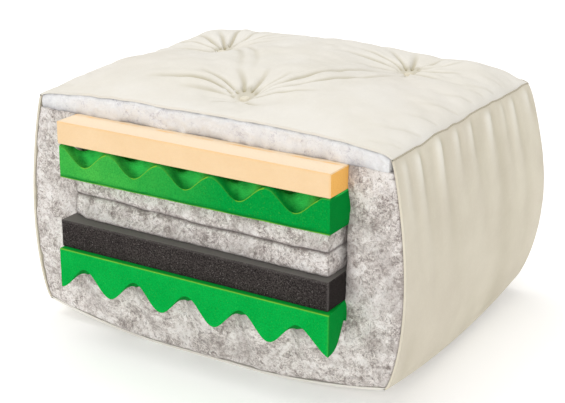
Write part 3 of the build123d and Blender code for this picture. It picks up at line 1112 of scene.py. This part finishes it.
def pad_piece(name, low_level, high_level, seed, belly):
    def place(u, v, w):
        left, right = pad_left + PAD_LEFT_GAP, pad_right - 7
        x = left + (right - left) * u
        low, high = low_level(x), high_level(x)
        z = low + (high - low) * w
        setback = PAD_SETBACK_LEFT + (PAD_SETBACK_RIGHT - PAD_SETBACK_LEFT) * u
        sag = belly * (1 - u) * bell(w, 0.3) * smooth(u, 0.0, 0.06)
        fluff = 1.1 * rough(x, z, 0, 9, 95, 3) + 0.9 * rough(x, z, 0, 24, 96)
        fluff = fluff * np.sin(pi * np.clip(w, 0.02, 0.98)) ** 0.3
        y_front = foam_front + setback + 3.0 * np.abs(2 * w - 1) ** 5 - 1.0 - sag + fluff
        y = y_front + (foam_back - y_front) * v
        end = smooth(u, 0.985, 1.0)
        x = x + end * (0.8 * rough(y, z, seed, 9, 97, 2) - 0.6 * np.abs(2 * w - 1) ** 3)
        return np.stack([x, y + end * (1 - smooth(v, 0, 0.2)) * 1.5, z], -1)

    us = np.concatenate([np.linspace(0, 0.985, 165), [0.99, 0.995, 1.0]])
    vs = np.concatenate([[0, 0.004, 0.008, 0.013], np.linspace(0.02, 0.1, 12), np.linspace(0.14, 1, 16)])
    piece = shell(name, us, vs, np.linspace(0, 1, 19), place, 60)
    x, y, z = points_of(piece)
    # painted shade along the groove where the pads meet, at their left ends, along the dark foam's top and
    # under the upper foam
    groove = bell(z - groove_level(x), 1.9) * unit(0.95 + 0.3 * rough(x, 0, 0, 11, 99, 2))
    under_foam = 0.55 * bell(z - pads_top, 2.2) * (0.7 + 0.6 * rough(x, 0, 0, 13, 98, 2))
    left_end = 0.95 * bell(x - pad_left - PAD_LEFT_GAP, 1.8)
    shade_lines = groove, left_end, 0.5 * bell(z - dark_top, 1.6), under_foam
    cotton_piece(piece, name.replace("_", "_middle_"), np.max(shade_lines, axis=0))


def flat_level(z):
    return lambda x: np.full_like(x, z)


pad_piece("lower_pad", flat_level(dark_top + FIT / 2), lambda x: groove_level(x) - FIT / 2, 1, 7)
pad_piece("upper_pad", lambda x: groove_level(x) + FIT / 2, flat_level(pads_top - FIT / 4), 2, 0)

# ---- batting ----

CUT_DEPTH = 9.0  # how far behind the cut its shadows fade


def fluff(x, z):
    """How far the cut batting stands forward."""
    return 1.3 * rough(x, z, 0, 14, 101, 3) + 1.5 * rough(x, z, 0, 38, 102) + 0.5 * rough(x, z, 0, 4, 103)


def split_level(x):
    """Where the white batting on top meets the grey batting beside the foams."""
    beside = smooth(np.abs(x), foam_right - 6, foam_right + 8)
    return memory_top + FIT / 2 + beside * (1.4 * rough(x, 0, 0, 16, 105, 2) - 0.6)


def outer_wall(z, x_seam, y):
    """How far out the batting reaches: to the cloth at the cut, and clear of its gathers behind."""
    top = SEAM_TOP + seam_wave(x_seam, y)
    low = bottom_height(x_seam, y)
    clear = 5.0 * smooth(y, cut_y + 3, cut_y + 16)
    return bulge((top - z) / (top - low)) - CLOTH - FIT - clear


def bed(x, y):
    """Where the batting lies on the bottom cloth."""
    return bottom_height(x, y) + CLOTH + FIT


def near_cover(gap):
    """The batting sinks back beside the cover's cut edge."""
    return 2.2 * np.exp(-gap / 1.6)


def from_cut(count):
    """Steps from 0 at the cut to 1 at the back, closer together at the cut."""
    return np.concatenate([[0, 0.006, 0.014, 0.025], np.linspace(0.04, 1, count)])


def side_batting(name, side, wall, seed):
    inner = wall - side * FIT
    seam_x = side * (half_width - CLOTH - FIT)

    def place(u, v, w):
        y0 = cut_y + (back_y - 2 - cut_y) * v
        at_edge = np.full_like(u, side * half_width)
        low_z = bed(seam_x + 0 * u, y0)
        z_out = low_z + (split_level(at_edge) - FIT - low_z) * w
        x_out = side * (half_width + outer_wall(z_out, at_edge, y0))
        x = x_out + (inner - x_out) * u
        bottom = bed(seam_x + (inner - seam_x) * u, y0)
        z = bottom + (split_level(x) - FIT - bottom) * w
        gap = np.minimum(np.abs(x - x_out), (z - bottom))
        beside_foam = smooth(z, teeth_bottom - 4, teeth_bottom + 12)
        forward = fluff(x, z) + 1.2 - near_cover(gap) - 1.6 * beside_foam * np.exp(-np.abs(x - inner) / 2.5)
        return np.stack([x, y0 - (1 - smooth(v, 0, 0.03)) * forward, z], -1)

    us = np.linspace(0, 1, round((half_width + side_bulge - abs(wall)) / 1.9))
    vs = np.concatenate([[0, 0.006, 0.014], np.linspace(0.03, 1, 18)])
    piece = shell(f"{name}_fill", us, vs, np.linspace(0, 1, 128), place, 70)
    x, y, z = points_of(piece)
    at_cut = bell(y - cut_y, CUT_DEPTH)
    # painted shadow on the batting beside the foams' ends, and painted shade in the gap along the cover's
    # cut edge
    contact_shadow = smooth(16 - np.abs(x - wall), 0, 15.5) * at_cut * (0.6 + 0.4 * rough(x, z, 0, 12, seed, 2))
    contact_shadow = contact_shadow * smooth(z, teeth_bottom - 2, teeth_bottom + 16)
    cover_gap_shade = np.exp(-np.abs(np.abs(x) - half_width - outer_wall(z, np.sign(x) * half_width, y)) / 1.3)
    return cotton_piece(piece, f"{name}_batting", contact_shadow + 0.55 * cover_gap_shade * at_cut)


left_fill = side_batting("left", -1, foam_left, 111)
right_fill = side_batting("right", 1, foam_right, 112)

HUMP = 30.0  # how far the batting stands out into the notches of the lower foam


def bottom_fill_place(u, v, w):
    x = foam_left - 0.2 + (foam_right - foam_left + 0.4) * u
    notch = 0.5 - 0.5 * np.cos(2 * pi * (x - foam_left) / LOWER_PITCH)
    ends = smooth(x, foam_left, foam_left + 16) * smooth(foam_right - x, 0, 16)
    forward = HUMP * w**1.7 * (0.5 + 0.5 * notch) * ends
    low = bed(x, cut_y)
    z_guess = low + (lower_underside(x, cut_y - forward) - low) * w
    forward = forward + (fluff(x, z_guess) + 1.2) * (1 - 0.6 * w**6) - near_cover(z_guess - low)
    y = cut_y - forward + (foam_back - cut_y + forward) * v
    bottom = bed(x, np.maximum(y, cut_y))
    return np.stack([x, y, bottom + (lower_underside(x, y) - FIT - bottom) * w], -1)


bottom_steps = np.linspace(0, 1, 172), from_cut(70), np.linspace(0, 1, 48)
bottom_fill = shell("bottom_fill", *bottom_steps, bottom_fill_place, 70)
x, y, z = points_of(bottom_fill)
# painted shade under the teeth of the lower foam and in the gap along the bottom cloth
under_foam = smooth(z - lower_underside(x, y), -16, -0.5) * smooth(-y, -cut_y - 12, -cut_y + 4)
bottom_gap_shade = np.exp(-(z - bottom_height(x, np.maximum(y, cut_y)) - CLOTH) / 1.4) * bell(y - cut_y, 8)
patchy = 0.8 + 0.5 * rough(x, z, 0, 9, 121, 2)
cotton_piece(bottom_fill, "bottom_batting", 0.75 * under_foam * patchy + 0.6 * bottom_gap_shade)


def back_fill_place(u, v, w):
    seam_y = back_y - CLOTH - FIT
    x = (foam_left + FIT) + (foam_right - foam_left - 2 * FIT) * u
    level = split_level(x) - FIT
    low_z = bed(x, np.full_like(u, seam_y))
    y_out = back_y + outer_wall(low_z + (level - low_z) * w, x, np.full_like(u, back_y))
    y_in = foam_back + FIT
    y = y_in + (y_out - y_in) * v
    bottom = bed(x, np.minimum(y, seam_y))
    return np.stack([x, y, bottom + (level - bottom) * w], -1)


back_steps = (np.linspace(0, 1, count) for count in (60, 12, 50))
back_fill = shell("back_fill", *back_steps, back_fill_place, 60)
cotton_piece(back_fill, "back_batting", np.zeros(len(back_fill.data.vertices)))


def white_place(u, v, w):
    x = (half_width - CLOTH - FIT) * u
    y0 = cut_y + (back_y - CLOTH - FIT - cut_y) * v
    top = top_height(x, y0) - CLOTH - FIT
    low = split_level(x)
    z = low + (top - low) * w
    gap = np.minimum(top - z, half_width - np.abs(x))
    over_foam = smooth(foam_right + 4 - np.abs(x), 0, 6)
    forward = 0.9 * fluff(x, z) + 1.6 - near_cover(gap) - over_foam * 0.8 * np.exp(-(z - low) / 2)
    x, y0 = round_corners(x, y0)
    return np.stack([x, y0 - (1 - smooth(v, 0, 0.03)) * forward, z], -1)


white_fill = shell("white_fill", edge_steps(236, 1.1), from_cut(60), np.linspace(0, 1, 20), white_place, 70)
x, y, z = points_of(white_fill)
# painted shade along the white batting's lower edge and in a broken line under the cover's cut edge
patchy = unit(0.5 + 0.7 * rough(x, 0, 0, 13, 131, 2))
under_shade_line = np.exp(-np.clip(z - split_level(x), 0, None) / 3.6) * patchy
cover_shade_line = np.exp(-np.clip(top_height(x, np.clip(y, cut_y, back_y)) - CLOTH - z, 0, None) / 1.3)
cover_shade_line = cover_shade_line * unit(0.6 + 0.5 * rough(x, 0, 0, 9, 132, 2))
mark(white_fill, crease=(under_shade_line + cover_shade_line) * bell(y - cut_y, CUT_DEPTH))
finished(white_fill, white_cotton, ["white_top_batting"])

# ---- tufts ----

BUTTON_RADIUS = 5.8
BUTTON_UNDER = 0.4  # how far its underside lies below its seat


def button(name, tx, ty, level, upward):
    """A felt disc with a soft rim and a dished middle where the twine passes through."""
    rings, around = 14, 40
    angles = np.linspace(0, 2 * pi, around, endpoint=False)
    tilt = rough(tx, ty, 0, 30, 141)
    lump = 1 + 0.04 * np.sin(5 * angles + tilt)
    ripple = 0.16 * np.sin(8 * angles + tilt)

    def tall(r):
        dome = 3.2 * (1 - (r / BUTTON_RADIUS) ** 5) ** 0.5
        return dome - 0.9 * np.exp(-((r / 1.6) ** 2)) + 0.15 * np.sin(1.9 * r)

    def ring(r, z):
        x, y = tx + r * np.cos(angles), ty + r * np.sin(angles)
        return np.stack([x, y, level + upward * z + 0 * angles], -1)

    radii = [BUTTON_RADIUS * n / rings for n in range(1, rings + 1)]
    points = [ring(r * lump, tall(r) + ripple * (r / BUTTON_RADIUS)) for r in radii]
    points += [ring(5.6, -BUTTON_UNDER), ring(3.0, -BUTTON_UNDER)]
    grid = np.arange(len(points) * around).reshape(len(points), around)
    points.append([[tx, ty, level + upward * z] for z in (tall(0), -BUTTON_UNDER)])
    pairs = [(n, n + 1, (n + 2) % around) for n in range(0, around, 2)]
    caps = [(grid.size, *grid[0][list(pair[::-1])]) for pair in pairs]
    caps += [(grid.size + 1, *grid[-1][list(pair)]) for pair in pairs]
    faces = np.concatenate([hoops(grid), caps])[:, ::-upward]
    piece = mesh_piece(name, np.concatenate(points), faces, 60)
    mark(piece, crease=np.zeros(len(piece.data.vertices)))
    return finished(piece, felt, [name.replace("_", "_tuft_", 1)])


for name, (tx, ty) in TUFTS.items():
    here = np.array([tx]), np.array([ty])
    button(f"{name}_top_button", tx, ty, float(top_height(*here)[0]) + 0.4, 1)
    button(f"{name}_bottom_button", tx, ty, float(bottom_height(*here)[0]) - 0.3, -1)
    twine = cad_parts[f"{name}_tuft_twine"]
    twine.data.materials.clear()
    twine.data.materials.append(twine_cotton)

# ---- floor and light ----

FLOOR_HALF = 9.0
FLOOR_LEVEL = -0.0002
corners = [(FLOOR_HALF * x, FLOOR_HALF * y, FLOOR_LEVEL) for x, y in ((-1, -1), (1, -1), (1, 1), (-1, 1))]
floor_mesh = bpy.data.meshes.new("floor")
floor_mesh.from_pydata(corners, [], [(0, 1, 2, 3)])
floor = bpy.data.objects.new("floor", floor_mesh)
scene.collection.objects.link(floor)
floor_finish = Finish("floor", roughness=0.9, specular=0.1)
floor_finish.colour(floor_finish.mix(floor_finish.noise(0.8, 2), tone(252, 252, 252), tone(254, 254, 254)))
floor_finish.shader.inputs["Emission Color"].default_value = (1.0, 1.0, 1.0, 1.0)
floor_finish.shader.inputs["Emission Strength"].default_value = 0.15
floor_mesh.materials.append(floor_finish.material)

world = bpy.data.worlds.new("studio")
world.use_nodes = True
sky = world.node_tree.nodes["Background"].inputs
sky["Color"].default_value = (1.0, 0.995, 0.985, 1)
sky["Strength"].default_value = 0.46
scene.world = world


def sun(name, energy, spread, towards, colour=(1.0, 1.0, 1.0)):
    lamp = bpy.data.lights.new(name, "SUN")
    lamp.energy = energy
    lamp.angle = radians(spread)
    lamp.color = colour
    holder = bpy.data.objects.new(name, lamp)
    holder.rotation_euler = Vector(towards).to_track_quat("Z", "Y").to_euler()
    scene.collection.objects.link(holder)


sun("key", 1.5, 60, (-0.26, 0.10, 0.96), (1.0, 0.985, 0.96))
sun("fill", 1.06, 40, (0.34, -0.84, 0.40))

scene.view_settings.view_transform = "Standard"
